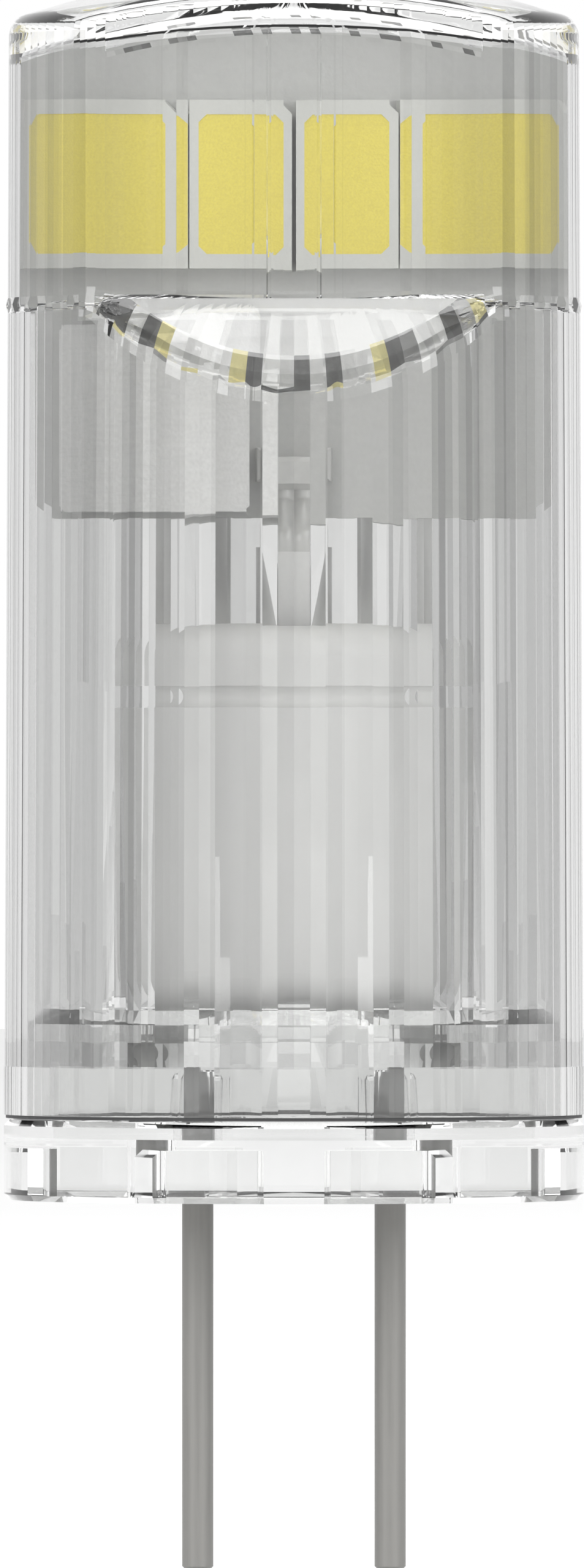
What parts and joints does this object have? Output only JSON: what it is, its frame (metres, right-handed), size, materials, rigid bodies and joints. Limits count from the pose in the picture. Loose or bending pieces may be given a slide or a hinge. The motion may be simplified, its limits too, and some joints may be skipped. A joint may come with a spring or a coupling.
{
  "type": "led capsule bulb",
  "caption": "Clear round capsule lamp with flat windows, a row of yellow light packages on a board, a round capacitor and two straight contact pins.",
  "frame": {"origin": "centre of the base's seating face, midway between the two contact pins", "axes": "+Z from the seating face to the domed end, pins in a row along X and reaching down to -Z, flat windows facing -Y and +Y"},
  "size_m": [0.012, 0.012, 0.0332],
  "materials": {
    "clear_cover": "clear moulded plastic, polished, with fine upright flats",
    "clear_plug": "clear moulded plastic, polished",
    "board_white": "white solder mask",
    "lamp_white": "white moulded package",
    "phosphor": "yellow phosphor in clear resin, unlit",
    "pin_steel": "drawn wire, dull tin grey",
    "choke_grey": "light grey ferrite body",
    "tinned_pads": "tinned metal",
    "chip_black": "black epoxy",
    "can_metal": "drawn can",
    "sleeve_white": "white shrink sleeve, soft sheen",
    "bung_rubber": "black rubber",
    "lead_tin": "tinned copper wire",
    "tube_white": "white insulating tube",
    "solder": "soft shiny solder"
  },
  "bodies": {
    "root": {"base_plug": "clear_plug", "board": "board_white", "capacitor_bung": "bung_rubber", "capacitor_can": "can_metal", "capacitor_lead_back": "lead_tin", "capacitor_lead_front": "lead_tin", "capacitor_sleeve": "sleeve_white", "choke": "choke_grey", "choke_pads": "tinned_pads", "cover": "clear_cover", "driver_chip": "chip_black", "driver_chip_legs": "tinned_pads", "lamp_body_back_1": "lamp_white", "lamp_body_back_2": "lamp_white", "lamp_body_back_3": "lamp_white", "lamp_body_back_4": "lamp_white", "lamp_body_front_1": "lamp_white", "lamp_body_front_2": "lamp_white", "lamp_body_front_3": "lamp_white", "lamp_body_front_4": "lamp_white", "lead_solder_back": "solder", "lead_solder_front": "solder", "lead_tube_back": "tube_white", "lead_tube_front": "tube_white", "phosphor_back_1": "phosphor", "phosphor_back_2": "phosphor", "phosphor_back_3": "phosphor", "phosphor_back_4": "phosphor", "phosphor_front_1": "phosphor", "phosphor_front_2": "phosphor", "phosphor_front_3": "phosphor", "phosphor_front_4": "phosphor", "pin_left": "pin_steel", "pin_right": "pin_steel", "rectifier": "chip_black", "rectifier_legs": "tinned_pads", "resistor_lower": "chip_black", "resistor_lower_caps": "tinned_pads", "resistor_upper": "chip_black", "resistor_upper_caps": "tinned_pads", "wire_jacket_left": "tube_white", "wire_jacket_right": "tube_white", "wire_left": "lead_tin", "wire_right": "lead_tin", "wire_solder_left": "solder", "wire_solder_right": "solder"}
  },
  "joints": []
}
